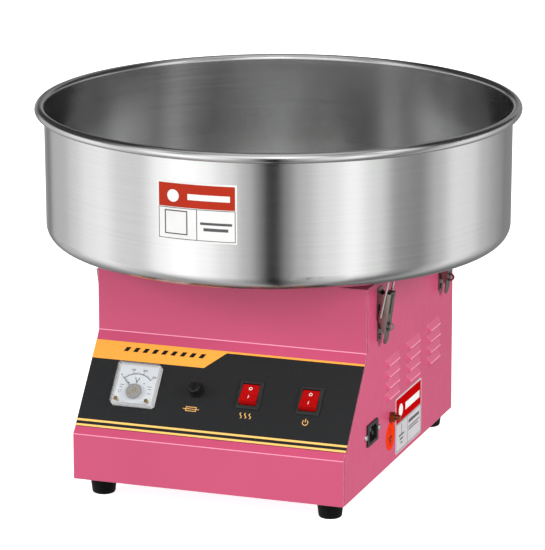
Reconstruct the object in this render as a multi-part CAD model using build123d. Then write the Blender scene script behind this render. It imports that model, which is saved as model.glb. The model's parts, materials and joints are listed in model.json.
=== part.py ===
from build123d import *
from math import cos, hypot, radians, sin, sqrt
import os

# Countertop cotton candy machine. Millimetres, +Z up, front towards -Y, bowl axis on X = Y = 0,
# floor at Z = 0.

# ---- casing ----
foot_height = 20.0
body_height = 211.4
body_width = 298.4
front_low = 223.5
front_high = 148.5
rear = 160.0
lower_front = 49.3
upper_front = 143.3
bevel_low = 6.8
bevel_high_y = 6.3
bevel_high_z = 9.8
sheet = 1.2
seam = 2.8
bend = 2.2
flange = 12.0
rear_flange = 24.0
rear_bend = 6.0

# ---- bowl ----
bowl_outer = 520.0
bowl_wall_top = 500.0
bowl_wall_bottom = 498.2
bowl_height = 146.6
bowl_corner = 17.2
bowl_sheet = 0.8
rim_roll = 5.4
bowl_mouth = 150.0
mouth_collar = 10.0
pad_height = 12.4
pad_radius = 10.0
pad_spread = 105.0
keeper_width = 12.0

# ---- feet ----
foot_top = 29.0
foot_bottom = 24.0
foot_side = 23.2
foot_front = 26.5
foot_rear = 14.0

# ---- control face ----
overlay = 0.4
print_thickness = 0.15
meter_size = 48.0
meter_cut = 2.4
meter_screw_places = [(-17.0, -19.0), (17.0, -19.0)]
meter_height = 9.0
meter_can = 40.0
meter_at = (-91.5, 50.5)
fuse_at = (-25.0, 52.0)
fuse_body = 12.0
fuse_cap_size = 12.6
heat_at = (33.4, 52.8)
power_at = (99.2, 52.8)
bezel_s = 31.0
rocker_x = 18.4
switch_wall = 1.5
bezel_rim = 3.65
bezel_x = rocker_x + 2 * bezel_rim
rocker_tilt = 12.0
pin_clearance = 0.05
slide_clearance = 0.15
body_clearance = 0.3

# ---- right side ----
inlet_at = (-131.0, 53.5)
inlet_screws_apart = 42.4
stud_at = (-68.0, 52.6)
stud_radius = 3.6
stud_tip = 2.9
sticker_size = 31.0
sticker_z = 31.5
label_y = (-50.0, 41.0)
label_z = (4.5, 66.5)
louver_columns = (-63.5, 9.1, 82.1)
louver_width = 43.0
louver_first = 74.0
louver_pitch = 12.2
louver_rows = 4
louver_height = 8.4
louver_depth = 4.0

# ---- latches ----
latch_y = 108.0
pivot_out = 10.5
pivot_z = 196.0
hook_out = 14.5
hook_z = 220.0
bail_out = 4.8
bail_z = 174.0
wire = 2.6
lever_width = 17.6
lever_sheet = 1.2
lever_lean = 8.0
lever_tail = 52.0
eye_out = 12.0
eye_z = 163.0
eye_outer = 4.2
eye_hole = 2.3

# ---- spinner and motor ----
head_radius = 64.0
head_bottom = 256.0
band_height = 24.0
band_slots = 36
shaft_radius = 6.0
ring_radius = 18.0
motor_radius = 52.0
motor_top = 175.0
motor_bottom = 100.0

# ---- derived ----
floor_z = foot_height
top_z = foot_height + body_height
half = body_width / 2
inner = half - sheet
foot_x = half - foot_side
bowl_z = top_z + pad_height
rim_z = bowl_z + bowl_height
front_path = [
    (-front_low, floor_z),
    (-front_low, floor_z + lower_front),
    (-front_low + bevel_low, floor_z + lower_front + bevel_low),
    (-front_high - bevel_high_y, floor_z + upper_front - bevel_high_z),
    (-front_high, floor_z + upper_front),
    (-front_high, top_z),
]
slope_start = front_path[2]
slope_end = front_path[3]
slope_length = hypot(slope_end[0] - slope_start[0], slope_end[1] - slope_start[1])
slope_y = (slope_end[0] - slope_start[0]) / slope_length
slope_z = (slope_end[1] - slope_start[1]) / slope_length
control = Plane(origin=(0, slope_start[0], slope_start[1]), x_dir=(1, 0, 0),
                z_dir=(0, -slope_z, slope_y))


def write(name, shape):
    export_step(shape, f"parts/{name}.step")


def group(solids):
    return Compound(children=solids)


def block(x0, x1, y0, y1, z0, z1):
    return Pos((x0 + x1) / 2, (y0 + y1) / 2, (z0 + z1) / 2) * Box(x1 - x0, y1 - y0, z1 - z0)


def rod(radius, z0, z1, x=0.0, y=0.0):
    return Pos(x, y, (z0 + z1) / 2) * Cylinder(radius, z1 - z0)


def tube(outer, bore, z0, z1, x=0.0, y=0.0):
    return rod(outer, z0, z1, x, y) - rod(bore, z0 - 1, z1 + 1, x, y)


def rod_x(radius, x0, x1, y, z):
    return Pos((x0 + x1) / 2, y, z) * Rot(0, 90, 0) * Cylinder(radius, x1 - x0)


def rod_y(radius, y0, y1, x, z):
    return Pos(x, (y0 + y1) / 2, z) * Rot(90, 0, 0) * Cylinder(radius, y1 - y0)


def hexagon(across, z0, z1):
    return Pos(0, 0, z0) * extrude(RegularPolygon(across / sqrt(3), 6), amount=z1 - z0)


def side_prism(points, x0, x1):
    face = Plane.YZ.offset(x0) * Polygon(*points, align=None)
    return extrude(face, amount=x1 - x0, dir=(1, 0, 0))


def front_prism(points, y0, y1):
    face = Plane.XZ.offset(-y0) * Polygon(*points, align=None)
    return extrude(face, amount=y1 - y0, dir=(0, 1, 0))


def inset(path, depth):
    # The path moved inwards, corners kept sharp.
    normals = []
    for (y0, z0), (y1, z1) in zip(path, path[1:]):
        run = hypot(y1 - y0, z1 - z0)
        normals.append(((z1 - z0) / run, -(y1 - y0) / run))
    moved = [(path[0][0] + depth * normals[0][0], path[0][1])]
    for (y, z), (ay, az), (by, bz) in zip(path[1:-1], normals, normals[1:]):
        scale = depth / (1 + ay * by + az * bz)
        moved.append((y + scale * (ay + by), z + scale * (az + bz)))
    moved.append((path[-1][0] + depth * normals[-1][0], path[-1][1]))
    return moved


def on_control(at, lift=overlay):
    return control * Pos(at[0], at[1], lift)


def control_holes(depth0, depth1):
    # Clearance holes of the meter, the fuse holder and the two switches.
    holes = on_control(meter_at, 0) * rod(meter_can / 2 + body_clearance, depth0, depth1)
    holes += on_control(fuse_at, 0) * rod(fuse_body / 2 + body_clearance, depth0, depth1)
    side = rocker_x / 2 + switch_wall + 2 * body_clearance
    for at in (heat_at, power_at):
        holes += on_control(at, 0) * block(-side, side, -13.8, 13.8, depth0, depth1)
    return holes


# ---- casing pieces ----
def front_panel():
    points = front_path + inset(front_path, sheet)[::-1]
    panel = side_prism(points, -half, half)
    for path, radius in ((front_path, bend), (inset(front_path, sheet), bend - sheet)):
        for y, z in path[1:-1]:
            edge = panel.edges().filter_by(Axis.X).filter_by(
                lambda e: hypot(e.center().Y - y, e.center().Z - z) < 0.01)
            panel = fillet(edge, radius)
    return panel - control_holes(-20, 5)


def louver_shape(y, z, wall):
    # Pressed hood: it slopes out from the sheet at the top and at both ends.
    out = half + louver_depth - wall
    back = inner - 1 if wall else half - 0.6
    w = louver_width / 2 - wall
    low = z - wall / 3
    side = front_prism([(back, z + louver_height - 1.3 * wall), (half, z + louver_height - 1.3 * wall),
                        (out - 0.5, z + 2.4 - wall), (out, z + 1.4 - wall / 2), (out, low), (back, low)],
                       y - w, y + w)
    plan = Polygon((back, y - w), (half, y - w), (out - 0.6, y - w + 3.6), (out, y - w + 4.8),
                   (out, y + w - 4.8), (out - 0.6, y + w - 3.6), (half, y + w), (back, y + w), align=None)
    return side & Pos(0, 0, z - 2) * extrude(plan, amount=louver_height + 4)


def rear_corner(y0):
    # Bent strip that carries the side sheet round onto the rear.
    left = half - rear_flange
    outer = Polygon((left, y0), (half, y0), (half, rear), (left, rear), align=None)
    outer = fillet(outer.vertices().filter_by(lambda v: v.X > inner and v.Y > y0 + 1), rear_bend)
    hollow = Polygon((left - 1, y0 - 1), (inner, y0 - 1), (inner, rear - sheet),
                     (left - 1, rear - sheet), align=None)
    hollow = fillet(hollow.vertices().filter_by(lambda v: v.X > left and v.Y > y0), rear_bend - sheet)
    return Pos(0, 0, floor_z) * extrude(outer - hollow, amount=body_height)


def side_sheet():
    bend_start = rear - 2 * rear_bend
    points = inset(front_path, sheet + seam) + [(bend_start, top_z), (bend_start, floor_z)]
    plate = side_prism(points, inner, half) + rear_corner(bend_start)
    for y in louver_columns:
        for row in range(louver_rows):
            plate += louver_shape(y, floor_z + louver_first + row * louver_pitch, 0)
    for y in louver_columns:
        for row in range(louver_rows):
            plate -= louver_shape(y, floor_z + louver_first + row * louver_pitch, sheet)
    for z in (70, 125, 180):
        plate -= rod_y(1.7, rear - 5, rear + 5, half - 14, floor_z + z)
    for y in (-latch_y, latch_y):
        for z in rivet_heights():
            plate -= rod_x(1.6, inner - 1, half + 1, y, z)
    return plate


def right_side_panel():
    y, z = inlet_at[0], floor_z + inlet_at[1]
    plate = side_sheet() - block(inner - 1, half + 1, y - 17.8, y + 17.8, z - 12.0, z + 12.0)
    for side in (-0.5, 0.5):
        plate -= rod_x(1.7, inner - 1, half + 1, y + side * inlet_screws_apart, z)
    plate -= rod_x(stud_radius, inner - 1, half + 1, stud_at[0], floor_z + stud_at[1])
    return plate


def left_side_panel():
    return mirror(side_sheet(), about=Plane.YZ)


def rear_panel():
    w = half - rear_bend - 1.0
    plate = block(-w, w, rear - 2 * sheet, rear - sheet, floor_z, top_z)
    for x in (half - 14, 14 - half):
        for z in (70, 125, 180):
            plate -= rod_y(1.7, rear - 5, rear + 5, x, floor_z + z)
    for column in range(9):
        for row in (0, 1):
            x = (column - 4) * 14
            z = floor_z + 40 + row * 40
            plate -= block(x - 2, x + 2, rear - 5, rear + 5, z, z + 26)
    return plate


def tray(z0, z1, lip0, lip1, front, back):
    # Flat sheet with a lip all round, rear corners cut back for the bend of the side panels.
    outline = [(-inner, front), (inner, front), (inner, back - rear_bend), (inner - rear_bend, back),
               (rear_bend - inner, back), (-inner, back - rear_bend)]
    s = sheet
    inside = [(-inner + s, front + s), (inner - s, front + s), (inner - s, back - rear_bend - s / 2),
              (inner - rear_bend - s / 2, back - s), (rear_bend - inner + s / 2, back - s),
              (-inner + s, back - rear_bend - s / 2)]
    plate = Pos(0, 0, z0) * extrude(Polygon(*outline, align=None), amount=z1 - z0)
    lip = Pos(0, 0, lip0) * extrude(Polygon(*outline, align=None), amount=lip1 - lip0)
    lip -= Pos(0, 0, lip0) * extrude(Polygon(*inside, align=None), amount=lip1 - lip0)
    return plate + lip


def base_plate():
    plate = tray(floor_z, floor_z + sheet, floor_z, floor_z + flange, -front_low + sheet, rear - 2 * sheet)
    for x, y in foot_places():
        plate -= rod(2.5, floor_z - 1, floor_z + 2, x, y)
    return plate


def top_deck():
    plate = tray(top_z - sheet, top_z, top_z - flange, top_z, -front_high + sheet, rear - 2 * sheet)
    return plate - rod(30, top_z - 20, top_z + 1)


def foot_places():
    front = -front_low + foot_front
    back = rear - foot_rear
    return [(-foot_x, front), (foot_x, front), (-foot_x, back), (foot_x, back)]


def feet():
    solids = []
    for x, y in foot_places():
        foot = Pos(x, y, floor_z / 2) * Cone(foot_bottom / 2, foot_top / 2, floor_z)
        foot = fillet(foot.edges().sort_by(Axis.Z)[0], 2.5)
        foot -= rod(5.0, -1, floor_z - 8, x, y) + rod(2.5, 0, floor_z + 1, x, y)
        solids.append(foot)
    return group(solids)


def foot_screws():
    solids = []
    for x, y in foot_places():
        solids.append(rod(4.4, floor_z - 11, floor_z - 8, x, y) + rod(2.5, floor_z - 8.5, floor_z + 7, x, y)
                      + Pos(x, y, floor_z + sheet) * hexagon(8, 0, 4))
    return group(solids)


def casing_screws():
    solids = []
    for x in (half - 14, 14 - half):
        for z in (70, 125, 180):
            head = rod_y(3.4, rear, rear + 1.8, x, floor_z + z)
            solids.append(head + rod_y(1.7, rear - 6, rear + 0.5, x, floor_z + z))
    y, z = inlet_at[0], floor_z + inlet_at[1]
    for side in (-0.5, 0.5):
        dome = rod_x(3.4, half, half + 2.2, y + side * inlet_screws_apart, z)
        dome = fillet(dome.edges().sort_by(Axis.X)[-1], 1.6)
        solids.append(dome + rod_x(1.7, inner - 6, half + 0.5, y + side * inlet_screws_apart, z))
    return group(solids)


def deck_pads():
    solids = []
    for x in (-pad_spread, pad_spread):
        for y in (-pad_spread, pad_spread):
            solids.append(rod(pad_radius, top_z, bowl_z, x, y))
    return group(solids)


# ---- control face pieces ----
def panel_overlay():
    sheet_plate = control * block(-half, half, 0, slope_length, 0, overlay)
    return sheet_plate - control_holes(-5, 5)


def overlay_print():
    # Band along the top with a stepped end, and two lines along the bottom.
    points = [(-half, 78.0), (-23.5, 78.0), (-2.0, slope_length - 2.2), (half, slope_length - 2.2),
              (half, slope_length), (-half, slope_length)]
    band = control * Pos(0, 0, overlay) * extrude(Polygon(*points, align=None), amount=print_thickness)
    low, high = overlay, overlay + print_thickness
    return group([band] + [control * block(-half, half, s, s + 2.3, low, high) for s in (0.4, 6.1)])


def chamfered_square(size, cut, z0, z1):
    plate = block(-size / 2, size / 2, -size / 2, size / 2, z0, z1)
    return chamfer(plate.edges().filter_by(Axis.Z), cut)


def meter_pivot():
    return on_control(meter_at) * Pos(0, -8.5, 0)


def meter_case():
    case = chamfered_square(meter_size, meter_cut, 0, 2.0)
    case += rod(meter_can / 2, -26, 0.5)
    case += rod(1.0, 1.5, 6.4, 0, -8.5)
    for x in (-16, 16):
        case += rod(1.8, 1.5, 3.4, x, 6)
    for x, s in meter_screw_places:
        case -= rod(1.1, 0.5, 3, x, s)
    mask = rod(8.6, 6.2, 6.9, 0, -8.5)
    return on_control(meter_at) * (case + mask)


def meter_dial():
    plate = block(-21, 21, -20.8, 20.5, 3.4, 4.0)
    plate -= rod(6.4, 3, 5, 0, -8.5)
    for x, s in meter_screw_places:
        plate -= rod(1.6, 3, 5, x, s)
    return on_control(meter_at) * plate


def meter_movement():
    return on_control(meter_at) * tube(6.0, 3.0, 2.0, 3.9, 0, -8.5)


def meter_cover():
    shell = chamfered_square(meter_size, meter_cut, 2.0, meter_height)
    shell = chamfer(shell.faces().sort_by(Axis.Z)[-1].edges(), 1.2)
    shell -= chamfered_square(meter_size - 3.0, meter_cut - 0.6, 1.0, meter_height - 1.2)
    for x, s in meter_screw_places:
        shell -= rod(1.1, meter_height - 3, meter_height + 1, x, s)
    return on_control(meter_at) * shell


def meter_screws():
    solids = []
    for x, s in meter_screw_places:
        solids.append(rod(2.1, meter_height, meter_height + 1.0, x, s)
                      + rod(1.1, 0.5, meter_height + 0.5, x, s))
    return on_control(meter_at) * group(solids)


def meter_needle():
    needle = tube(1.8, 1.0 + pin_clearance, 4.6, 5.6)
    arm = block(1.4, 22.5, -0.4, 0.4, 4.8, 5.3) + block(-5.0, -1.4, -0.8, 0.8, 4.8, 5.3)
    return meter_pivot() * Rot(0, 0, 135) * (needle + arm)


def fuse_holder():
    holder = hexagon(15.0, 0, 3.0) + rod(5.0, 2.5, 8.0) + rod(fuse_body / 2, -30, 0.5)
    return on_control(fuse_at) * (holder - rod(3.3, -24, 9))


def fuse_tube():
    glass = rod(2.6, -14.0, 8.2)
    return on_control(fuse_at) * glass


def fuse_cap():
    cap = rod(fuse_cap_size / 2, 3.3, 12.0)
    cap = fillet(cap.edges().sort_by(Axis.Z)[-1], 1.8)
    cap -= rod(5.0 + body_clearance, 3.0, 8.4)
    cap -= block(-0.6, 0.6, -4.0, 4.0, 11.2, 12.5)
    return on_control(fuse_at) * cap


def switch_body(at):
    bezel = chamfer(block(-bezel_x / 2, bezel_x / 2, -bezel_s / 2, bezel_s / 2, 0, 2.0).edges()
                    .group_by(Axis.Z)[-1], 0.8)
    well = rocker_x / 2 + body_clearance
    body = bezel + block(-well - switch_wall, well + switch_wall, -13.5, 13.5, -25.0, 0.5)
    body -= block(-well, well, -12.3, 12.3, -9.6, 3)
    body -= rod_x(1.5 + pin_clearance, -well - 1.0, well + 1.0, 0, -3.6)
    for x in (-5, 5):
        body += block(x - 0.4, x + 0.4, -3.2, 3.2, -32, -24.5)
    return on_control(at) * body


def rocker(at):
    profile = [(-10.2, 7.0), (0, 6.3), (10.2, 7.0), (11.7, 1.0), (9.0, -2.5), (-9.0, -2.5), (-11.7, 1.0)]
    pin_end = rocker_x / 2 + 1.0
    paddle = side_prism(profile, -rocker_x / 2, rocker_x / 2) + rod_x(1.5, -pin_end, pin_end, 0, 0)
    return on_control(at) * Pos(0, 0, -3.6) * Rot(-rocker_tilt, 0, 0) * paddle


# ---- right side pieces ----
def power_inlet():
    y, z = inlet_at[0], floor_z + inlet_at[1]
    shroud = chamfer(block(125, half + 1.6, y - 17.6, y + 17.6, z - 11.7, z + 11.7).edges()
                     .filter_by(Axis.X), 1.5)
    body = shroud + block(inner - 2.5, inner, y - 25, y + 25, z - 14, z + 14)
    socket = block(133, half + 5, y - 12.3, y + 12.3, z - 8.2, z + 8.2)
    socket = chamfer(socket.edges().filter_by(Axis.X).group_by(Axis.Z)[-1], 4.5)
    body -= socket
    for side in (-0.5, 0.5):
        body -= rod_x(1.7, inner - 5, half + 1, y + side * inlet_screws_apart, z)
    return body


def inlet_pins():
    y, z = inlet_at[0], floor_z + inlet_at[1]
    places = [(0.0, 3.0), (-7.0, -2.2), (7.0, -2.2)]
    return group([block(133, 148, y + dy - 1, y + dy + 1, z + dz - 2, z + dz + 2) for dy, dz in places])


def earth_terminal():
    y, z = stud_at[0], floor_z + stud_at[1]
    stud = rod_x(stud_radius, half - 10, half + 5.4, y, z) + rod_x(stud_tip, half + 5.4, half + 11, y, z)
    frame = Pos(half, y, z) * Rot(0, 90, 0)
    hole = rod(stud_radius, -20, 20)
    washer = frame * (rod(5.3, 0, 1.2) - hole)
    nut = frame * (hexagon(10, 1.2, 5.4) - hole)
    back_nut = frame * (hexagon(10, -sheet - 4.0, -sheet) - hole)
    return group([stud, washer, nut, back_nut])


def earth_sticker():
    return rod_x(sticker_size / 2, half, half + print_thickness, stud_at[0], floor_z + sticker_z)


def side_label():
    plate = block(half, half + print_thickness, label_y[0], label_y[1],
                  floor_z + label_z[0], floor_z + label_z[1])
    return fillet(plate.edges().filter_by(Axis.X), 3.0)


# ---- bowl ----
def bowl():
    top_r = bowl_wall_top / 2
    low_r = bowl_wall_bottom / 2
    rim_r = bowl_outer / 2 - rim_roll
    roll_z = rim_z - rim_roll
    t = bowl_sheet
    outer = Polygon((0, bowl_z), (low_r, bowl_z), (top_r, roll_z), (0, roll_z), align=None)
    outer = fillet(outer.vertices().sort_by(Axis.X)[-2:].sort_by(Axis.Y)[0], bowl_corner)
    hollow = Polygon((0, bowl_z + t), (low_r - t, bowl_z + t), (top_r - t, roll_z), (0, roll_z), align=None)
    hollow = fillet(hollow.vertices().sort_by(Axis.X)[-2:].sort_by(Axis.Y)[0], bowl_corner - t)
    section = outer - hollow
    section -= Pos(bowl_mouth / 4, bowl_z) * Rectangle(bowl_mouth / 2, 4)
    section += Pos(bowl_mouth / 2 + t / 2, bowl_z + mouth_collar / 2) * Rectangle(t, mouth_collar)
    curl = Pos(rim_r, roll_z) * (Circle(rim_roll) - Circle(rim_roll - t))
    gap = Polygon((rim_r, roll_z), (rim_r - 9, roll_z), (rim_r - 4, roll_z - 9), align=None)
    section += curl - gap
    return revolve(Plane.XZ * section, Axis.Z)


def bowl_keepers():
    solids = []
    x = half + hook_out
    r = wire / 2
    z = floor_z + hook_z
    profile = [(half, bowl_z), (x - r - 0.3, bowl_z), (x - r - 0.3, z - r - 0.3), (x + 0.5, z - r - 0.3),
               (x + 0.5, z - r - 1.8), (x - r - 1.8, z - r - 1.8), (x - r - 1.8, bowl_z - 1.5),
               (half, bowl_z - 1.5)]
    for y in (-latch_y, latch_y):
        keeper = front_prism(profile, y - keeper_width / 2, y + keeper_width / 2)
        solids += [keeper, mirror(keeper, about=Plane.YZ)]
    return group(solids)


def bowl_sticker():
    z0, z1 = floor_z + 274.0, floor_z + 335.6
    roll_z = rim_z - rim_roll
    slope = (bowl_wall_top - bowl_wall_bottom) / 2 / (roll_z - bowl_z)
    r0 = bowl_wall_bottom / 2 + slope * (z0 - bowl_z)
    r1 = bowl_wall_bottom / 2 + slope * (z1 - bowl_z)
    strip = Polygon((r0, z0), (r0 + print_thickness, z0), (r1 + print_thickness, z1), (r1, z1), align=None)
    arc = 19.8
    return Rot(0, 0, -90 - arc / 2) * revolve(Plane.XZ * strip, Axis.Z, revolution_arc=arc)


# ---- latches, drawn on the right side and mirrored to the left ----
def rivet_heights():
    return (floor_z + 152.0, floor_z + 178.0)


def to_lever(out, z):
    # Place of a point on the lever, before the lever leans in.
    a = radians(lever_lean)
    dx, dz = out - pivot_out, z - pivot_z
    return dx * cos(a) - dz * sin(a), dx * sin(a) + dz * cos(a)


def latch_base(y):
    z0 = floor_z + 148.4
    plate = block(half, half + lever_sheet, y - 7.3, y + 7.3, z0, floor_z + pivot_z + 9)
    px, pz = half + pivot_out, floor_z + pivot_z
    outline = [(half, pz - 9), (half, pz + 6), (px - 6, pz + 2.4), (px + 1.2, pz + 2.4), (px + 2.2, pz + 1.4),
               (px + 2.2, pz - 1.4), (px + 1.0, pz - 2.4), (px - 1, pz - 3.2)]
    ear = front_prism(outline, -lever_sheet / 2, lever_sheet / 2)
    for side in (-6.7, 6.7):
        plate += Pos(0, y + side, 0) * ear
    plate -= rod_y(1.5, y - 10, y + 10, px, pz)
    ex, ez = half + eye_out, floor_z + eye_z
    eye = rod_y(eye_outer, y - 0.8, y + 0.8, ex, ez) + block(half, ex, y - 0.8, y + 0.8, ez - 3.4, ez + 3.4)
    plate += eye - rod_y(eye_hole, y - 2, y + 2, ex, ez)
    for z in rivet_heights():
        plate -= rod_x(1.6, half - 1, half + 3, y, z)
    return plate


def latch_pin(y):
    return rod_y(1.5, y - lever_width / 2, y + lever_width / 2, half + pivot_out, floor_z + pivot_z)


def latch_rivet(y, z):
    shank = rod_x(1.6, inner - 1.0, half + lever_sheet + 0.5, y, z)
    return (shank + rod_x(3.0, half + lever_sheet, half + lever_sheet + 1.0, y, z)
            + rod_x(3.0, inner - 1.0, inner, y, z))


def lever_cheek(w):
    bx, bz = to_lever(bail_out, bail_z)
    points = [(-4.0, 3.0), (-2.0, 4.2), (4.2, 4.2), (4.2, -40.0), (3.0, -40.0), (0.0, -35.0),
              (bx - 2.7, bz - 3.0), (bx - 2.7, bz + 4.0), (-4.2, -4.0)]
    return front_prism(points, -w, w)


def latch_lever():
    w = lever_width / 2
    t = lever_sheet
    out = 4.2
    body = lever_cheek(w) - block(-12, out - t, -w + t, w - t, -50, 20)
    tail = block(out - t, out, -w + 1.5, w - 1.5, -lever_tail + 8, -38)
    tail += rod_x(w - 1.5, out - t, out, 0, -lever_tail + w - 1.5)
    body += tail + block(out - 0.2, out + 0.9, -2.6, 2.6, -18, 2)
    ex, ez = to_lever(eye_out, eye_z)
    body -= block(out - 4, out + 3, -1.6, 1.6, ez - 5.8, ez + 5.8)
    body -= rod_y(1.5 + pin_clearance, -w - 1, w + 1, 0, 0)
    bx, bz = to_lever(bail_out, bail_z)
    body -= rod_y(wire / 2 + pin_clearance, -w - 1, w + 1, bx, bz)
    return Rot(0, lever_lean, 0) * body


def latch_bail():
    # Wire loop, drawn with its pivot ends at Z = 0 and turned to lean out towards the keeper.
    rise_x, rise_z = hook_out - bail_out, hook_z - bail_z
    length = hypot(rise_x, rise_z)
    r = wire / 2
    side = lever_width / 2 + 0.4 + r
    path = FilletPolyline((0, -side + 3.4, 0), (0, -side, 0), (0, -side, length), (0, side, length),
                          (0, side, 0), (0, side - 3.4, 0), radius=[1.4, 2.2, 2.2, 1.4])
    start = Plane(origin=path @ 0, z_dir=path % 0)
    loop = sweep(start * Circle(r), path=path)
    lean = Plane(origin=(0, 0, 0), x_dir=(rise_z, 0, -rise_x), z_dir=(rise_x, 0, rise_z))
    return lean * loop


def place_latch(shape, x, y, z, left):
    placed = Pos(half + x, y, floor_z + z) * shape
    return mirror(placed, about=Plane.YZ) if left else placed


def both_sides(maker):
    solids = []
    for y in (-latch_y, latch_y):
        solids += [maker(y), mirror(maker(y), about=Plane.YZ)]
    return solids


# ---- spinner head ----
def head_base():
    dish = rod(head_radius, head_bottom, head_bottom + 3)
    dish += rod(13, head_bottom - 10, head_bottom + 5)
    dish -= rod(shaft_radius, head_bottom - 11, head_bottom + 6)
    for i in range(6):
        dish -= Rot(0, 0, 60 * i) * rod(1.6, head_bottom - 1, head_bottom + 4, 44)
    return dish


def floss_band():
    z0 = head_bottom + 3
    band = tube(head_radius, head_radius - 1.0, z0, z0 + band_height)
    slot = block(head_radius - 3, head_radius + 3, -0.9, 0.9, z0 + 4, z0 + band_height - 4)
    return band - [Rot(0, 0, 360 * i / band_slots) * slot for i in range(band_slots)]


def head_cap():
    z0 = head_bottom + 3 + band_height
    cap = rod(head_radius, z0, z0 + 2.5)
    funnel = Pos(0, 0, z0 - 7) * Cone(13, 24, 14.1)
    hopper = Pos(0, 0, z0 - 7) * Cone(11, 22, 14.2)
    cap = chamfer(cap.edges().sort_by(Axis.Z)[-1], 1.0) + funnel - hopper - rod(22, z0, z0 + 3)
    for i in range(6):
        cap -= Rot(0, 0, 60 * i) * rod(1.6, z0 - 1, z0 + 4, 44)
    return cap


def heating_ring():
    return Pos(0, 0, head_bottom + 15) * Torus(56, 2.4)


def ring_insulators():
    z0 = head_bottom + 3
    ring = heating_ring()
    return group([Rot(0, 0, 60 * i + 30) * rod(3.4, z0, z0 + 11.5, 56) - ring for i in range(6)])


def head_screws():
    z0 = head_bottom
    top = z0 + 5.5 + band_height
    screw = rod(1.6, z0 - 3, top + 0.5, 44) + rod(3.2, top, top + 1.6, 44) + rod(3.2, z0 - 2.6, z0, 44)
    screw += rod(3.0, z0 + 3, top - 2.5, 44)
    return group([Rot(0, 0, 60 * i) * screw for i in range(6)])


def motor_shaft():
    return rod(shaft_radius, motor_bottom - 4, head_bottom + 13)


def rotor_core():
    return tube(37, shaft_radius, motor_bottom + 14, motor_top - 16)


def slip_hub():
    return tube(ring_radius - 4, shaft_radius, motor_top + 11, motor_top + 46)


def slip_rings():
    return group([tube(ring_radius, ring_radius - 4, motor_top + z, motor_top + z + 7) for z in (16, 32)])


# ---- motor ----
def motor_can():
    return tube(motor_radius, motor_radius - 2, motor_bottom + 5, motor_top - 5)


def motor_bells():
    low = tube(motor_radius, 11, motor_bottom, motor_bottom + 5)
    high = tube(motor_radius, 11, motor_top - 5, motor_top)
    return group([low, high])


def bearings():
    bore = shaft_radius + pin_clearance
    return group([tube(11, bore, z, z + 5) for z in (motor_bottom, motor_top - 5)])


def motor_bracket():
    z = motor_top
    plate = block(-75, 75, -55, 55, z, z + 3) - rod(20, z - 1, z + 4)
    return chamfer(plate.edges().filter_by(Axis.Z).filter_by(lambda e: e.center().length > 80), 8)


def motor_isolators():
    solids = []
    z0, z1 = motor_top + 3, top_z - sheet
    for x in (-62, 62):
        for y in (-42, 42):
            post = rod(7, z0, z1, x, y) - tube(12, 5, z0 + 14, z0 + 20, x, y)
            solids.append(post)
    return group(solids)


def brush_holder():
    z = motor_top + 3
    body = block(23, 52, -9, 9, z, z + 40)
    for lift in (13.5, 29.5):
        body -= block(20, 48, -3 - slide_clearance, 3 + slide_clearance,
                      z + lift - slide_clearance, z + lift + 6 + slide_clearance)
    return body


def carbon_brushes():
    z = motor_top + 3
    return group([block(ring_radius + body_clearance, 40, -3, 3, z + lift, z + lift + 6)
                  for lift in (13.5, 29.5)])


os.makedirs("parts", exist_ok=True)
write("front_panel", front_panel())
write("right_side_panel", right_side_panel())
write("left_side_panel", left_side_panel())
write("rear_panel", rear_panel())
write("base_plate", base_plate())
write("top_deck", top_deck())
write("feet", feet())
write("foot_screws", foot_screws())
write("casing_screws", casing_screws())
write("deck_pads", deck_pads())
write("panel_overlay", panel_overlay())
write("overlay_print", overlay_print())
write("meter_case", meter_case())
write("meter_dial", meter_dial())
write("meter_movement", meter_movement())
write("meter_cover", meter_cover())
write("meter_screws", meter_screws())
write("meter_needle", meter_needle())
write("fuse_holder", fuse_holder())
write("fuse_tube", fuse_tube())
write("fuse_cap", fuse_cap())
write("heat_switch_body", switch_body(heat_at))
write("heat_rocker", rocker(heat_at))
write("power_switch_body", switch_body(power_at))
write("power_rocker", rocker(power_at))
write("power_inlet", power_inlet())
write("inlet_pins", inlet_pins())
write("earth_terminal", earth_terminal())
write("earth_sticker", earth_sticker())
write("side_label", side_label())
write("bowl", bowl())
write("bowl_keepers", bowl_keepers())
write("bowl_sticker", bowl_sticker())
write("latch_bases", group(both_sides(latch_base)))
rivets = both_sides(latch_pin)
for height in rivet_heights():
    rivets += both_sides(lambda y: latch_rivet(y, height))
write("latch_rivets", group(rivets))
lever = latch_lever()
bail = latch_bail()
for corner, y, left in (("front_right", -latch_y, False), ("rear_right", latch_y, False),
                        ("front_left", -latch_y, True), ("rear_left", latch_y, True)):
    write(f"lever_{corner}", place_latch(lever, pivot_out, y, pivot_z, left))
    write(f"bail_{corner}", place_latch(bail, bail_out, y, bail_z, left))
write("head_base", head_base())
write("floss_band", floss_band())
write("head_cap", head_cap())
write("heating_ring", heating_ring())
write("ring_insulators", ring_insulators())
write("head_screws", head_screws())
write("motor_shaft", motor_shaft())
write("rotor_core", rotor_core())
write("slip_hub", slip_hub())
write("slip_rings", slip_rings())
write("motor_can", motor_can())
write("bearings", bearings())
write("brush_holder", brush_holder())
write("carbon_brushes", carbon_brushes())
write("motor_isolators", motor_isolators())
write("motor_bells", motor_bells())
write("motor_bracket", motor_bracket())
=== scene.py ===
import json
import math

import bmesh
import bpy
from mathutils import Matrix, Vector


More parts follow.
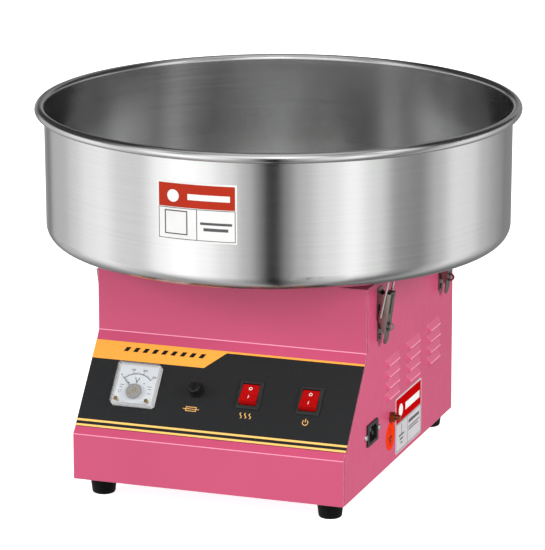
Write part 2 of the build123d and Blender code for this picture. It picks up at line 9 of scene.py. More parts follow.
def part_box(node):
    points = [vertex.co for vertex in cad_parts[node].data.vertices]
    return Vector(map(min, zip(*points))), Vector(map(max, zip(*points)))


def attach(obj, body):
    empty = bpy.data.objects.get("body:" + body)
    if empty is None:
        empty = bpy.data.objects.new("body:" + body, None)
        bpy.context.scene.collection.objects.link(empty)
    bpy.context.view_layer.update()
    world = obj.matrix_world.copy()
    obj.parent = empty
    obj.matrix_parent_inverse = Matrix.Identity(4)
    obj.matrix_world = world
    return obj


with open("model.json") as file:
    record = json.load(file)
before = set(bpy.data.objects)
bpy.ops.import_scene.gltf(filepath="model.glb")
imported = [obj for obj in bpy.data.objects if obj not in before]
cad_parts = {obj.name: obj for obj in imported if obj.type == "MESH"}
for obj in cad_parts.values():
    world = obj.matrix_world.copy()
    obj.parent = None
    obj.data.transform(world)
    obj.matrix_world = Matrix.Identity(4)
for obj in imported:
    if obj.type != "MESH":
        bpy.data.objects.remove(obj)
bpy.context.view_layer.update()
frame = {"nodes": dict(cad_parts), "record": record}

MM = 0.001

# ---------------------------------------------------------------- planes that carry printed marks
SLOPE = Vector((0, 0.0619, 0.0774)).normalized()
NORMAL = Vector((0, -SLOPE.z, SLOPE.y))
SLOPE_START = Vector((0, -0.2167, 0.0761))
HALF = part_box("earth_sticker")[0].x

# Millimetres: thickness of the overlay film and of the stickers.
OVERLAY = 0.4
STICKER = 0.15


def control(x, s, n):
    """Matrix of a spot on the sloping face: x across, s up the slope, n proud of the sheet (mm)."""
    origin = SLOPE_START + Vector((x * MM, 0, 0)) + SLOPE * (s * MM) + NORMAL * (n * MM)
    rows = Matrix((Vector((1, 0, 0)), SLOPE, NORMAL)).transposed().to_4x4()
    return Matrix.Translation(origin) @ rows


def side_plane(y, z, proud):
    """Matrix of a spot on the right side: first axis +Y, second +Z, third outwards (+X)."""
    rows = Matrix((Vector((0, 1, 0)), Vector((0, 0, 1)), Vector((1, 0, 0)))).transposed().to_4x4()
    return Matrix.Translation(Vector((HALF + proud * MM, y * MM, z * MM))) @ rows


# ---------------------------------------------------------------- node material helpers
class Graph:
    """Short ways to add and join the nodes of one tree."""
    def __init__(self, tree):
        self.tree = tree

    def add(self, kind, **values):
        node = self.tree.nodes.new(kind)
        for key, value in values.items():
            setattr(node, key, value)
        return node

    def link(self, out, to):
        self.tree.links.new(out, to)

    def feed(self, source, socket):
        """Joins another node's output to a socket, or sets the socket to a constant."""
        if isinstance(source, bpy.types.NodeSocket):
            self.link(source, socket)
        else:
            socket.default_value = source

    def sums(self, operation, first, second, kind="ShaderNodeMath"):
        node = self.add(kind, operation=operation)
        self.feed(first, node.inputs[0])
        self.feed(second, node.inputs[1])
        return node.outputs[0]

    def dot(self, first, second):
        node = self.add("ShaderNodeVectorMath", operation="DOT_PRODUCT")
        self.feed(first, node.inputs[0])
        self.feed(second, node.inputs[1])
        return node.outputs["Value"]

    def mix(self, share, first, second):
        """Two colours, blended by a share from 0 to 1."""
        node = self.add("ShaderNodeMix", data_type="RGBA")
        self.link(share, node.inputs[0])
        self.feed(first, node.inputs[6])
        self.feed(second, node.inputs[7])
        return node.outputs[2]

    def split(self, vector):
        node = self.add("ShaderNodeSeparateXYZ")
        self.link(vector, node.inputs[0])
        return node.outputs

    def ramp(self, value, stops, ease="LINEAR"):
        node = self.add("ShaderNodeValToRGB")
        node.color_ramp.interpolation = ease
        while len(node.color_ramp.elements) < len(stops):
            node.color_ramp.elements.new(0.5)
        for element, (place, colour) in zip(node.color_ramp.elements, stops):
            element.position = place
            element.color = (*colour, 1)
        self.link(value, node.inputs["Fac"])
        return node.outputs["Color"]

    def span(self, value, low, high, to_low=0.0, to_high=1.0, ease="LINEAR"):
        node = self.add("ShaderNodeMapRange", interpolation_type=ease)
        for key, number in (("From Min", low), ("From Max", high), ("To Min", to_low), ("To Max", to_high)):
            node.inputs[key].default_value = number
        self.link(value, node.inputs["Value"])
        return node.outputs["Result"]


class Nodes(Graph):
    """A new material, its shader, and where on the object a point is."""
    def __init__(self, name):
        self.mat = bpy.data.materials.new(name)
        self.mat.use_nodes = True
        super().__init__(self.mat.node_tree)
        self.shader = self.tree.nodes["Principled BSDF"]
        self.where = self.add("ShaderNodeTexCoord").outputs["Object"]

    def stretched(self, scale):
        node = self.add("ShaderNodeMapping")
        node.inputs["Scale"].default_value = scale
        self.link(self.where, node.inputs["Vector"])
        return node.outputs["Vector"]

    def noise(self, scale, detail=3.0, vector=None, rough=0.55):
        node = self.add("ShaderNodeTexNoise")
        node.inputs["Scale"].default_value = scale
        node.inputs["Detail"].default_value = detail
        node.inputs["Roughness"].default_value = rough
        self.link(vector or self.where, node.inputs["Vector"])
        return node.outputs["Fac"]

    def bump(self, height, strength, distance, before=None):
        node = self.add("ShaderNodeBump")
        node.inputs["Strength"].default_value = strength
        node.inputs["Distance"].default_value = distance
        self.link(height, node.inputs["Height"])
        if before is not None:
            self.link(before, node.inputs["Normal"])
        self.link(node.outputs["Normal"], self.shader.inputs["Normal"])

    def rounded(self, radius):
        """The surface direction with edges rounded off, and how far it agrees with the flat one."""
        edge = self.add("ShaderNodeBevel", samples=4)
        edge.inputs["Radius"].default_value = radius
        flat = self.add("ShaderNodeNewGeometry").outputs["Normal"]
        return edge.outputs["Normal"], self.dot(edge.outputs["Normal"], flat)

    def set(self, **values):
        names = {"rough": "Roughness", "metal": "Metallic", "ior": "IOR", "glass": "Transmission Weight",
                 "coat": "Coat Weight", "coat_rough": "Coat Roughness", "spec": "Specular IOR Level",
                 "aniso": "Anisotropic", "turn": "Anisotropic Rotation"}
        for key, value in values.items():
            self.shader.inputs[names[key]].default_value = value


def tinted(low, high):
    """A dark and a light version of a colour, for a ramp over noise."""
    return lambda c: [(0.3, [v * low for v in c]), (0.7, [min(1, v * high) for v in c])]


def paint(name, colour, rough=0.36, bend=None):
    """Powder coat: fine orange peel and rounded edges; a given bend colour paints highlights on the folds and
    sharp edges.
    """
    m = Nodes(name)
    edge, agreement = m.rounded(0.0012)
    coat = m.ramp(m.noise(9, 2), tinted(0.97, 1.03)(colour))
    if bend:
        slant = m.split(m.add("ShaderNodeTexCoord").outputs["Normal"])["Z"]
        black, white = (0, 0, 0), (1, 1, 1)
        # Painted highlight: light pink where the surface faces part way up, which happens only along the folds.
        painted_fold_highlight = m.ramp(slant, [(0.04, black), (0.22, white), (0.42, white), (0.52, black)])
        # Painted highlight along the sharp edges, where the rounded direction parts from the flat one.
        painted_edge_highlight = m.span(agreement, 0.98, 0.80, 0.0, 0.75)
        coat = m.mix(m.sums("MAXIMUM", painted_fold_highlight, painted_edge_highlight), coat, (*bend, 1))
    m.link(coat, m.shader.inputs["Base Color"])
    m.link(m.span(m.noise(60, 3), 0.3, 0.7, rough - 0.04, rough + 0.05), m.shader.inputs["Roughness"])
    m.bump(m.noise(650, 2), 0.08, 0.0003, before=edge)
    m.link(edge, m.shader.inputs["Coat Normal"])
    m.set(spec=0.14, coat=0.22, coat_rough=0.12)
    return m.mat


def plastic(name, colour, rough, grain=900, strength=0.06, depth=0.0002, low=0.9, high=1.1, spec=0.28):
    m = Nodes(name)
    m.set(spec=spec)
    m.link(m.ramp(m.noise(40, 3), tinted(low, high)(colour)), m.shader.inputs["Base Color"])
    m.link(m.span(m.noise(120, 2), 0.3, 0.7, rough * 0.88, rough * 1.12), m.shader.inputs["Roughness"])
    m.bump(m.noise(grain, 2), strength, depth)
    return m.mat


def metal(name, colour, rough, brush=(60, 60, 60), low=0.88, high=1.08, strength=0.08, blotch=70):
    m = Nodes(name)
    lines = m.noise(18, 5, m.stretched(brush))
    cloud = m.noise(blotch, 3)
    total = m.sums("ADD", m.span(lines, 0.2, 0.8, 0.0, 0.6), m.span(cloud, 0.2, 0.8, 0.0, 0.4))
    m.link(m.ramp(total, tinted(low, high)(colour)), m.shader.inputs["Base Color"])
    m.link(m.span(total, 0.3, 0.7, rough * 0.8, rough * 1.2), m.shader.inputs["Roughness"])
    m.bump(lines, strength, 0.00015)
    m.set(metal=1.0)
    return m.mat


def spun_steel():
    """Circumferential brushing on the bowl: fine lines round the axis, long vertical highlights."""
    m = Nodes("bowl_steel_spun")
    spot = m.split(m.where)
    turn = m.sums("ARCTAN2", spot["Y"], spot["X"])
    flat = m.add("ShaderNodeCombineXYZ")
    m.link(spot["X"], flat.inputs["X"])
    m.link(spot["Y"], flat.inputs["Y"])
    radius = m.add("ShaderNodeVectorMath", operation="LENGTH")
    m.link(flat.outputs[0], radius.inputs[0])

    def wrapped(around, across):
        """The point as angle, radius and height, stretched round the axis."""
        rolled = m.add("ShaderNodeCombineXYZ")
        m.link(turn, rolled.inputs["X"])
        m.link(radius.outputs["Value"], rolled.inputs["Y"])
        m.link(spot["Z"], rolled.inputs["Z"])
        scale = m.add("ShaderNodeMapping")
        scale.inputs["Scale"].default_value = (around, across, across)
        m.link(rolled.outputs[0], scale.inputs["Vector"])
        return scale.outputs["Vector"]

    fine = m.noise(1.0, 3, wrapped(2.0, 3600))
    broad = m.noise(1.0, 2, wrapped(0.8, 420))
    lines = m.sums("ADD", m.span(fine, 0.25, 0.75, 0.0, 0.55), m.span(broad, 0.25, 0.75, 0.0, 0.3))
    total = m.sums("ADD", lines, m.span(m.noise(9, 2), 0.25, 0.75, 0.0, 0.15))
    m.link(m.ramp(total, [(0.2, (0.585, 0.59, 0.585)), (0.8, (0.635, 0.64, 0.635))]),
           m.shader.inputs["Base Color"])
    m.link(m.span(total, 0.2, 0.8, 0.165, 0.205), m.shader.inputs["Roughness"])
    m.bump(fine, 0.02, 0.00004)
    tangent = m.add("ShaderNodeTangent", direction_type="RADIAL", axis="Z")
    m.link(tangent.outputs[0], m.shader.inputs["Tangent"])
    m.set(metal=1.0, aniso=0.9, turn=0.25)
    return m.mat


def meter_housing():
    """White back plate; the round cover of the movement above it is grey with a fine grain."""
    m = Nodes("meter_housing")
    level = SLOPE_START.dot(NORMAL)
    reach = m.dot(m.where, NORMAL)
    above_plate = m.span(reach, level + 5.5 * MM, level + 5.8 * MM)
    plate = m.ramp(m.noise(60, 2), [(0.3, (0.58, 0.59, 0.59)), (0.7, (0.64, 0.65, 0.65))])
    speck = m.ramp(m.noise(1500, 2), [(0.35, (0.07, 0.07, 0.065)), (0.65, (0.30, 0.29, 0.27))])
    m.link(m.mix(above_plate, plate, speck), m.shader.inputs["Base Color"])
    m.link(m.span(m.noise(120, 2), 0.3, 0.7, 0.28, 0.38), m.shader.inputs["Roughness"])
    m.set(spec=0.25)
    return m.mat


def clear_case(name, colour, alpha):
    """Moulded clear cover: mostly see-through, with its own gloss; its edges turn opaque pale as a painted
    highlight.
    """
    m = Nodes(name)
    agreement = m.rounded(0.0009)[1]
    # Painted highlight: the pale cover grows nearly opaque along its edges.
    m.link(m.span(agreement, 0.99, 0.85, alpha, 0.75), m.shader.inputs["Alpha"])
    m.link(m.ramp(m.noise(30, 2), tinted(0.97, 1.0)(colour)), m.shader.inputs["Base Color"])
    m.link(m.span(m.noise(90, 3), 0.3, 0.7, 0.03, 0.08), m.shader.inputs["Roughness"])
    m.set(ior=1.49)
    return m.mat


def glassy(name, colour, rough=0.02):
    m = Nodes(name)
    m.link(m.ramp(m.noise(30, 2), tinted(0.985, 1.0)(colour)), m.shader.inputs["Base Color"])
    m.link(m.span(m.noise(200, 3), 0.3, 0.7, rough * 0.6, rough * 1.6), m.shader.inputs["Roughness"])
    m.set(glass=1.0, ior=1.47)
    return m.mat


def film(name, colour, rough=0.36, spec=0.05):
    """Printed film: a touch of gloss and uneven ink."""
    m = Nodes(name)
    m.link(m.ramp(m.noise(35, 3), tinted(0.95, 1.02)(colour)), m.shader.inputs["Base Color"])
    m.link(m.span(m.noise(150, 2), 0.3, 0.7, rough * 0.85, rough * 1.15), m.shader.inputs["Roughness"])
    m.bump(m.noise(500, 2), 0.04, 0.0001)
    m.set(spec=spec)
    return m.mat


def pebbled():
    m = Nodes("overlay_pebbled")
    cell = m.add("ShaderNodeTexVoronoi")
    cell.inputs["Scale"].default_value = 900
    m.link(m.where, cell.inputs["Vector"])
    grain = m.sums("ADD", cell.outputs["Distance"], m.noise(1300, 3))
    m.link(m.ramp(grain, [(0.35, (0.003, 0.0035, 0.004)), (0.95, (0.012, 0.013, 0.014))]),
           m.shader.inputs["Base Color"])
    m.link(m.span(m.noise(80, 3), 0.3, 0.7, 0.38, 0.48), m.shader.inputs["Roughness"])
    m.bump(grain, 0.6, 0.0004)
    m.set(spec=0.32)
    return m.mat


def split_print():
    """Orange along the top of the overlay, pale gold for the two lines along the bottom."""
    m = Nodes("overlay_print_ink")
    height = m.span(m.split(m.where)["Z"], SLOPE_START.z + 20 * MM, SLOPE_START.z + 50 * MM)
    m.link(m.ramp(height, [(0.4, (0.98, 0.58, 0.16)), (0.6, (1.0, 0.41, 0.06))]),
           m.shader.inputs["Base Color"])
    m.link(m.span(m.noise(150, 2), 0.3, 0.7, 0.30, 0.40), m.shader.inputs["Roughness"])
    m.bump(m.noise(900, 2), 0.06, 0.00015)
    m.set(spec=0.2)
    return m.mat


PINK = (0.555, 0.074, 0.166)
looks = {
    # The bend colour is the light pink of the painted highlights on the casing's folds and edges.
    "pink_paint": paint("casing_powder_coat", PINK, bend=(0.92, 0.36, 0.50)),
    "bowl_steel": spun_steel(),
    "latch_steel": metal("latch_steel_satin", (0.25, 0.225, 0.195), 0.30, (40, 40, 3), 0.75, 1.15),
    "screw_steel": metal("screw_steel_bright", (0.72, 0.72, 0.72), 0.16),
    "plain_steel": metal("plain_steel_rolled", (0.50, 0.50, 0.51), 0.32, (8, 60, 60)),
    "rubber_black": plastic("rubber_moulded", (0.004, 0.004, 0.004), 0.5, 700, 0.12, 0.0003, spec=0.08),
    "overlay_black": pebbled(),
    "print_colour": split_print(),
    "sticker": film("sticker_white", (0.80, 0.80, 0.79)),
    "earth_print": film("earth_sticker_orange", (0.80, 0.040, 0.006), spec=0.0),
    "meter_black": meter_housing(),
    "dial_white": film("dial_card", (0.62, 0.66, 0.70), 0.5),
    "meter_clear": clear_case("meter_window", (0.92, 0.94, 0.95), 0.10),
    "needle": plastic("needle_black", (0.012, 0.012, 0.012), 0.4),
    "brass": metal("brass_turned", (0.62, 0.40, 0.15), 0.24, (50, 50, 50), 0.75, 1.15),
    "switch_black": plastic("switch_housing", (0.022, 0.022, 0.023), 0.36, 1100, 0.10),
    "rocker_red": plastic("rocker_red", (0.40, 0.003, 0.003), 0.26, 500, 0.02, 0.0001, 0.92, 1.08, spec=0.10),
    "fuse_black": plastic("fuse_bakelite", (0.010, 0.010, 0.011), 0.14, 500, 0.03, 0.0001),
    "fuse_glass": glassy("fuse_glass", (0.95, 0.97, 0.97)),
    "inlet_black": plastic("inlet_moulding", (0.016, 0.016, 0.017), 0.34, 1000, 0.10),
    "head_aluminium": metal("head_aluminium_turned", (0.72, 0.72, 0.73), 0.24, (60, 60, 60)),
    "heater": metal("heater_tinted", (0.26, 0.19, 0.15), 0.40, (30, 30, 30), 0.6, 1.2),
    "ceramic": plastic("ceramic_glazed", (0.74, 0.70, 0.62), 0.30, 400, 0.05),
    "insulator": plastic("insulator_phenolic", (0.13, 0.055, 0.02), 0.42, 800, 0.10),
    "copper": metal("slip_ring_copper", (0.72, 0.38, 0.22), 0.20, (4, 4, 90)),
    "motor_paint": paint("motor_black_enamel", (0.02, 0.02, 0.022), 0.42),
    "iron": metal("rotor_laminations", (0.22, 0.21, 0.21), 0.48, (4, 4, 160)),
    "carbon": plastic("brush_carbon", (0.02, 0.02, 0.02), 0.6, 1500, 0.2),
}
wire_look = metal("bail_wire_bright", (0.58, 0.56, 0.53), 0.22, (60, 60, 8))
# Nodes that look different from the rest of their material slot.
own_looks = {
    "side_label": film("side_label_white", (0.54, 0.52, 0.54), spec=0.0),
    "earth_terminal": metal("earth_stud_brass", (0.34, 0.17, 0.055), 0.30, (50, 50, 50), 0.7, 1.2),
}
for part in frame["record"]["subparts"]:
    node = part["node"]
    look = wire_look if node.startswith("bail_") else own_looks.get(node, looks[part["material_slot"]])
    carried = frame["nodes"][node]
    carried.data.materials.clear()
    carried.data.materials.append(look)

ink_black = film("ink_black", (0.012, 0.012, 0.012))
ink_white = film("ink_white", (0.82, 0.82, 0.81))
ink_red = film("ink_red", (0.43, 0.030, 0.012))
ink_side_red = film("ink_side_red", (0.46, 0.002, 0.003), spec=0.0)
ink_gold = film("ink_gold", (0.84, 0.46, 0.15))
ink_grey = film("ink_grey", (0.10, 0.10, 0.10))
mark_white = plastic("mark_white", (0.85, 0.80, 0.79), 0.35)


# ---------------------------------------------------------------- flat marks, drawn in millimetres
def corners(x0, y0, x1, y1):
    return [(x0, y0), (x1, y0), (x1, y1), (x0, y1)]


def bar(x0, y0, x1, y1):
    return [corners(x0, y0, x1, y1)]


def outline(x0, y0, x1, y1, width):
    """A rectangle drawn as a line of one width, mitred at the corners."""
    half = width / 2
    outer = corners(x0 - half, y0 - half, x1 + half, y1 + half)
    inner = corners(x0 + half, y0 + half, x1 - half, y1 - half)
    sides = list(zip(outer, inner))
    return [[a[0], b[0], b[1], a[1]] for a, b in zip(sides, sides[1:] + sides[:1])]


def ring(cx, cy, outer, inner, start=0.0, stop=360.0, steps=40):
    """Part of a ring, between two angles in degrees, or of a full disc when the inner radius is 0."""
    faces = []
    for i in range(steps):
        a, b = (math.radians(start + (stop - start) * k / steps) for k in (i, i + 1))
        pa, pb = Vector((math.cos(a), math.sin(a))), Vector((math.cos(b), math.sin(b)))
        corner = [pa * inner, pa * outer, pb * outer, pb * inner]
        if inner == 0:
            corner = [Vector((0, 0)), pa * outer, pb * outer]
        faces.append([(cx + p.x, cy + p.y) for p in corner])
    return faces


def stroke(points, width):
    """A mitred line of one width through the points."""
    pts = [Vector(p) for p in points]
    sides = []
    for i, p in enumerate(pts):
        before = (p - pts[i - 1]).normalized() if i else (pts[1] - p).normalized()
        after = (pts[i + 1] - p).normalized() if i + 1 < len(pts) else before
        along = (before + after).normalized()
        across = Vector((-along.y, along.x)) * (width / 2 / max(0.3, along.dot(after)))
        sides.append((p + across, p - across))
    return [[tuple(a[1]), tuple(b[1]), tuple(b[0]), tuple(a[0])] for a, b in zip(sides, sides[1:])]


def shifted(faces, dx, dy):
    return [[(x + dx, y + dy) for x, y in face] for face in faces]


def placed(name, mesh, body, look):
    """Puts a finished mesh in the scene, on the body that carries it."""
    mesh.materials.clear()
    mesh.materials.append(look)
    piece = bpy.data.objects.new(name, mesh)
    bpy.context.scene.collection.objects.link(piece)
    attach(piece, body)


def mark(name, faces, place, body, look, thick=0.05, bend=None):
    """A thin closed slab over the given faces, laid on a plane or bent round the bowl."""
    bm = bmesh.new()
    for face in faces:
        bm.faces.new([bm.verts.new((x, y, 0)) for x, y in face])
    bmesh.ops.remove_doubles(bm, verts=bm.verts, dist=1e-4)
    if bend:
        long_edges = [e for e in bm.edges if abs(e.verts[0].co.x - e.verts[1].co.x) > 3]
        bmesh.ops.subdivide_edges(bm, edges=long_edges, cuts=15, use_grid_fill=True)
    raised = bmesh.ops.extrude_face_region(bm, geom=bm.faces[:])
    for v in raised["geom"]:
        if isinstance(v, bmesh.types.BMVert):
            v.co.z += thick
    for v in bm.verts:
        v.co = bend(v.co) if bend else v.co * MM
    bmesh.ops.recalc_face_normals(bm, faces=bm.faces)
    mesh = bpy.data.meshes.new(name)
    bm.to_mesh(mesh)
    bm.free()
    if place is not None:
        mesh.transform(place)
    placed(name, mesh, body, look)


def figures(name, text, size, place, body, look):
    """Dial figures, cut from the built-in font and kept as a thin mesh."""
    curve = bpy.data.curves.new(name + "_curve", "FONT")
    curve.body = text
    curve.size = size
    curve.align_x = "CENTER"
    curve.align_y = "CENTER"
    curve.extrude = 0.02
    curve.offset = size * 0.02
    holder = bpy.data.objects.new(name + "_holder", curve)
    bpy.context.scene.collection.objects.link(holder)
    mesh = bpy.data.meshes.new_from_object(holder)
    bpy.data.objects.remove(holder)
    bpy.data.curves.remove(curve)
    mesh.transform(Matrix.Scale(MM, 4))
    mesh.transform(place)
    placed(name, mesh, body, look)


# ---------------------------------------------------------------- control face prints
face_place = control(0, 0, OVERLAY + 0.005)
band_place = control(0, 0, OVERLAY + 0.155)

# A plain row of slanted bars, all of one size and one pitch, fills the orange band.
BAR_WIDTH, BAR_HEIGHT, BAR_LEAN = 5.0, 5.0, 3.0
BAR_PITCH, BAR_COUNT = 10.5, 9
BAR_LEFT, BAR_FOOT = -116.0, 88.5
slanted = [[(0, 0), (BAR_WIDTH, 0), (BAR_WIDTH + BAR_LEAN, BAR_HEIGHT), (BAR_LEAN, BAR_HEIGHT)]]
strokes = []
for i in range(BAR_COUNT):
    strokes += shifted(slanted, BAR_LEFT + BAR_PITCH * i, BAR_FOOT)
mark("band_strokes", strokes, band_place, "frame", ink_black)

# Signs under the fuse and the switches, and the middles of the two switches.
HEAT_X, POWER_X, SWITCH_UP = 33.4, 99.2, 52.8
FUSE_SIGN_X, FUSE_SIGN_UP = -27.0, 31.0
POWER_SIGN_UP = 28.8
fuse_sign = outline(-5.5, -2.2, 5.5, 2.2, 0.8) + bar(-9, -0.35, 9, 0.35)
mark("fuse_sign", shifted(fuse_sign, FUSE_SIGN_X, FUSE_SIGN_UP), face_place, "frame", ink_gold)

heat_sign = []
for column in (-1, 0, 1):
    wave = [(HEAT_X + column * 5 + 1.1 * math.sin(k * math.pi / 4), 26.6 + k * 0.75) for k in range(9)]
    heat_sign += stroke(wave, 0.9)
mark("heat_sign", heat_sign, face_place, "frame", ink_gold)

power_sign = ring(0, 0, 3.3, 2.5, 125, 415) + bar(-0.4, 0.2, 0.4, 4.2)
mark("power_sign", shifted(power_sign, POWER_X, POWER_SIGN_UP), face_place, "frame", ink_gold)

# ---------------------------------------------------------------- voltmeter dial
METER = (-91.5, 50.5)
PIVOT = -8.5
SWEEP = 20.6
SCALE_START, TICK_TURN, TICKS = 135, 3, 31
FIGURES = ("0", "100", "200", "300")
CARD = OVERLAY + 4.0
MASK = OVERLAY + 6.9


def on_dial(turned, out):
    """A spot on the dial, by its clockwise turn from the scale's start in degrees and its distance out."""
    angle = math.radians(SCALE_START - turned)
    return (math.cos(angle) * out, PIVOT + math.sin(angle) * out)


dial_place = control(METER[0], METER[1], CARD + 0.005)
scale_marks = ring(0, PIVOT, SWEEP + 0.4, SWEEP - 0.4, 45, SCALE_START, 40)
for k in range(TICKS):
    length = 3.2 if k % 10 == 0 else (2.2 if k % 5 == 0 else 1.4)
    ends = [on_dial(TICK_TURN * k, SWEEP), on_dial(TICK_TURN * k, SWEEP + length)]
    scale_marks += stroke(ends, 0.6 if k % 10 == 0 else 0.34)
scale_marks += ring(-8.6, 1.8, 0.8, 0, steps=16) + ring(8.6, 1.8, 0.8, 0, steps=16)
scale_marks += stroke([(-2.4, 8.0), (0, 2.6), (2.4, 8.0)], 0.95)
mark("dial_scale", scale_marks, dial_place, "frame", ink_black)
fine_marks = bar(-18, -1.6, -13, -0.8) + bar(-18, -4.4, -14.4, -3.6)
fine_marks += bar(13, -1.6, 18, -0.8) + bar(14, -4.4, 17.6, -3.6)
fine_marks += outline(-18, -10, -15, -7, 0.4) + bar(14, -9.4, 18, -8.6)
mark("dial_fine_marks", fine_marks, dial_place, "frame", ink_grey)
for k, number in enumerate(FIGURES):
    spot = on_dial(10 * TICK_TURN * k, SWEEP + 5.0)
    here = control(METER[0] + spot[0], METER[1] + spot[1], CARD + 0.01)
    figures("dial_number_" + number, number, 3.4, here, "frame", ink_black)

mask_place = control(METER[0], METER[1] + PIVOT, MASK + 0.005)
movement_rings = ring(0, 0, 8.2, 7.5) + ring(0, 0, 5.6, 5.2)
mark("movement_rings", movement_rings, mask_place, "frame", ink_grey)
zigzag = stroke([(-4.6, -4.2), (-1.6, 0.6), (-2.6, 1.6), (1.2, 4.4), (0.4, 1.8), (3.6, 3.0), (1.6, -0.6),
                 (2.6, -2.2)], 0.9)
mark("hairspring", zigzag + ring(0, 0, 1.9, 0), control(METER[0], METER[1] + PIVOT, MASK + 0.06), "frame",
     looks["brass"], thick=0.12)

# ---------------------------------------------------------------- rocker marks, on the tilted paddles
TILT = math.radians(-12)
PADDLE_SLOPE = math.radians(3.93)
for name, centre in (("heat", HEAT_X), ("power", POWER_X)):
    pivot = control(centre, SWITCH_UP, OVERLAY - 3.6) @ Matrix.Rotation(TILT, 4, "X")
    upper = pivot @ Matrix.Translation(Vector((0, 5.4, 6.68)) * MM) @ Matrix.Rotation(PADDLE_SLOPE, 4, "X")
    lower = pivot @ Matrix.Translation(Vector((0, -4.8, 6.65)) * MM) @ Matrix.Rotation(-PADDLE_SLOPE, 4, "X")
    body = name + "_rocker"
    mark(name + "_off_mark", ring(0, 0, 1.9, 1.15, steps=28), upper, body, mark_white)
    mark(name + "_on_mark", bar(-0.4, -1.7, 0.4, 1.7), lower, body, mark_white)

# ---------------------------------------------------------------- side label, earth symbol
LABEL_Y0, LABEL_Y1, LABEL_Z0, LABEL_Z1 = -48.0, 39.0, 26.5, 84.5
HEADER_Z, BODY_TOP = 57.5, 56.5
EARTH_Y, EARTH_Z = -68.0, 50.6
label_face = side_plane(0, 0, STICKER + 0.01)
label_top = side_plane(0, 0, STICKER + 0.07)
mark("side_label_header", bar(LABEL_Y0, HEADER_Z, LABEL_Y1, LABEL_Z1), label_face, "frame", ink_side_red)
mark("side_label_dot", ring(-32, 70, 7, 0), label_top, "frame", ink_white)
mark("side_label_bar", bar(-16, 66, 34, 74), label_top, "frame", ink_white)
lines = outline(LABEL_Y0, LABEL_Z0, LABEL_Y1, BODY_TOP, 0.7) + bar(-8.4, LABEL_Z0, -7.6, BODY_TOP)
lines += bar(-29.5, 43, -28.1, 54) + bar(-38, 41, -20, 43)
lines += bar(-35, 36.6, -23, 38.6) + bar(-32, 32.2, -26, 34.2)
lines += bar(-4, 47.5, 33, 51) + bar(-4, 42.4, 35, 43.8) + bar(-4, 39.4, 30, 40.8)
mark("side_label_print", lines, label_face, "frame", ink_grey)
earth = bar(-0.7, 0, 0.7, 9.5) + bar(-6.2, -1.9, 6.2, 0)
earth += bar(-4.2, -5.4, 4.2, -3.7) + bar(-2.2, -8.8, 2.2, -7.2)
mark("earth_symbol", shifted(earth, EARTH_Y, EARTH_Z), label_face, "frame", ink_black)

# ---------------------------------------------------------------- sticker on the bowl
STICKER_Z0, STICKER_Z1 = (corner.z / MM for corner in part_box("bowl_sticker"))
# Radius of the bowl wall at the sticker's foot and head.
STICKER_R0, STICKER_R1 = 249.44, 249.85


def round_bowl(lift):
    """Bends a flat point (mm from the sticker's middle, height in mm) onto the bowl wall."""
    def bend(p):
        share = (p.y - STICKER_Z0) / (STICKER_Z1 - STICKER_Z0)
        radius = STICKER_R0 + (STICKER_R1 - STICKER_R0) * share + STICKER + lift + p.z
        angle = p.x / radius - math.pi / 2
        return Vector((radius * math.cos(angle), radius * math.sin(angle), p.y)) * MM
    return bend


low, high, left, right = STICKER_Z0 + 2, STICKER_Z1 - 2, -41.2, 41.2
divide = 329.0
mark("bowl_header", bar(left, divide, right, high), None, "bowl", ink_red, bend=round_bowl(0.02))
mark("bowl_header_dot", ring(-25, divide + 11.5, 6.5, 0), None, "bowl", ink_white,
     bend=round_bowl(0.1))
mark("bowl_header_bar", bar(-9, divide + 8.4, 36, divide + 14.6), None, "bowl", ink_white,
     bend=round_bowl(0.1))
body_print = outline(left, low, right, divide - 1, 0.7) + bar(0.4, low, 1.2, divide - 1)
body_print += outline(-34, low + 5, -10, low + 29, 1.2)
body_print += bar(4.5, low + 16.6, 38, low + 19.2) + bar(8, low + 10.2, 34, low + 13.4)
mark("bowl_print", body_print, None, "bowl", ink_grey, bend=round_bowl(0.02))

# ---------------------------------------------------------------- floor
bm = bmesh.new()
bmesh.ops.create_circle(bm, cap_ends=True, segments=96, radius=14.0)
floor_mesh = bpy.data.meshes.new("floor")
bm.to_mesh(floor_mesh)
bm.free()
pale = Nodes("floor_pale")
pale.link(pale.ramp(pale.noise(3, 2), [(0.3, (0.93, 0.93, 0.93)), (0.7, (0.95, 0.95, 0.95))]),
          pale.shader.inputs["Base Color"])
pale.set(rough=0.9, spec=0.1)
pale.shader.inputs["Emission Color"].default_value = (1, 1, 1, 1)
pale.shader.inputs["Emission Strength"].default_value = 0.86
floor_mesh.materials.append(pale.mat)
floor = bpy.data.objects.new("floor", floor_mesh)
bpy.context.scene.collection.objects.link(floor)
floor.visible_glossy = False
floor.visible_diffuse = False
floor.visible_transmission = False

# ---------------------------------------------------------------- studio: pale surround in soft vertical panels
def by_degrees(table, power=1.0):
    """Ramp stops from rows of degrees and brightness; degrees run from straight ahead round to the right."""
    return [((degrees + 180) / 360, (bright ** power,) * 3) for degrees, bright in table]


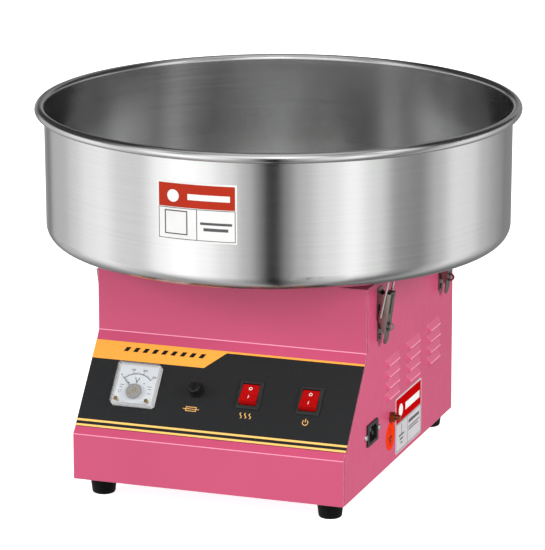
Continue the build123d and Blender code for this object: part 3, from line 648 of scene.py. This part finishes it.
PANELS = [(-180, 0.38), (-150, 0.52), (-136, 0.34), (-124, 0.70), (-112, 0.75), (-100, 0.96),
          (-88, 1.18), (-76, 1.26), (-64, 1.02), (-52, 1.00), (-40, 1.40), (-28, 1.58), (-16, 1.42), (-6, 1.15),
          (5, 0.75), (11, 0.35), (14.5, 0.01), (18.5, 0.01), (23.5, 0.42), (30, 0.76), (44, 1.14), (56, 1.40),
          (68, 1.05), (80, 0.50), (92, 0.44), (104, 0.78), (116, 1.12), (128, 1.06), (140, 0.78), (152, 0.60),
          (164, 0.40), (180, 0.38)]
PANEL_CONTRAST = 1.3
CEILING = [(-180, 0.35), (-150, 0.05), (-90, 0.05), (-66, 0.25), (-50, 1.0), (-42, 1.0), (-30, 0.5), (-14, 1.2),
           (-2, 1.3), (8, 1.5), (20, 2.1), (34, 1.5), (50, 0.60), (66, 0.60), (76, 1.3), (84, 1.2), (98, 0.20),
           (112, 0.05), (165, 0.05), (180, 0.35)]
# Brightness by height: dim straight down, even at the sides, a bright band overhead in front, dark above it.
LEVELS = [(-1.0, 0.38), (-0.80, 0.45), (-0.45, 1.0), (0.15, 1.0), (0.42, 0.9), (0.58, 1.15), (0.72, 1.0),
          (0.82, 0.1)]

world = bpy.data.worlds.new("studio")
bpy.context.scene.world = world
world.use_nodes = True
sky = Graph(world.node_tree)
toward = sky.split(sky.add("ShaderNodeTexCoord").outputs["Generated"])
around = sky.sums("ARCTAN2", toward["X"], sky.sums("MULTIPLY", toward["Y"], -1.0))
share = sky.span(around, -math.pi, math.pi)
walls = sky.ramp(share, by_degrees(PANELS, PANEL_CONTRAST), "EASE")
above = sky.ramp(share, by_degrees(CEILING), "EASE")
blend = sky.mix(sky.span(toward["Z"], 0.06, 0.25, ease="SMOOTHSTEP"), walls, above)
height = sky.span(toward["Z"], -1.0, 1.0)
levels = sky.ramp(height, [((level + 1) / 2, (bright,) * 3) for level, bright in LEVELS])
lit = sky.sums("MULTIPLY", blend, levels, kind="ShaderNodeVectorMath")
zenith = sky.span(toward["Z"], 0.80, 0.97, 0.0, 0.75)
total = sky.sums("ADD", lit, zenith, kind="ShaderNodeVectorMath")
background = sky.tree.nodes["Background"]
sky.link(total, background.inputs["Color"])
background.inputs["Strength"].default_value = 1.0


def soft_light(name, place, target, size, power, seen_in_steel):
    """A square lamp; one that is not seen in steel lights the object without a reflection of itself."""
    data = bpy.data.lights.new(name, "AREA")
    data.size = size
    data.energy = power
    lamp = bpy.data.objects.new(name, data)
    lamp.location = place
    lamp.rotation_euler = (Vector(target) - Vector(place)).to_track_quat("-Z", "Y").to_euler()
    lamp.visible_glossy = seen_in_steel
    bpy.context.scene.collection.objects.link(lamp)


RIGHT, LEFT = (3.0, -1.0, 1.5), (-3.4, -1.9, 1.7)
CASING = (0, 0, 0.15)
soft_light("rear_fill", (-1.2, 3.6, 0.3), (0, 0, 0.12), 1.4, 34, False)
soft_light("right_key", RIGHT, CASING, 1.4, 66, False)
soft_light("right_strip", RIGHT, CASING, 1.0, 15, True)
soft_light("front_left_key", LEFT, CASING, 1.0, 60, False)
soft_light("left_strip", LEFT, CASING, 0.8, 7, True)

# ---------------------------------------------------------------- camera
cam_data = bpy.data.cameras.new("camera")
cam = bpy.data.objects.new("camera", cam_data)
bpy.context.scene.collection.objects.link(cam)
AIM = Vector((-0.0063, -0.0022, 0.1981))
AZ, EL, REACH, ROLL = math.radians(19.63), math.radians(14.66), 4.0078, math.radians(-0.12)
away = Vector((math.sin(AZ) * math.cos(EL), -math.cos(AZ) * math.cos(EL), math.sin(EL)))
cam.location = AIM + away * REACH
cam.rotation_mode = "QUATERNION"
cam.rotation_quaternion = (-away).to_track_quat("-Z", "Y") @ Matrix.Rotation(ROLL, 3, "Z").to_quaternion()
SENSOR = 36.0
# Focal length as a multiple of the frame's longer side.
LENS_RATIO = 6.75273
cam_data.sensor_width = SENSOR
cam_data.lens = LENS_RATIO * SENSOR
cam_data.clip_start, cam_data.clip_end = 0.1, 60
bpy.context.scene.camera = cam
bpy.context.scene.view_settings.view_transform = "Standard"
bpy.context.scene.view_settings.look = "None"
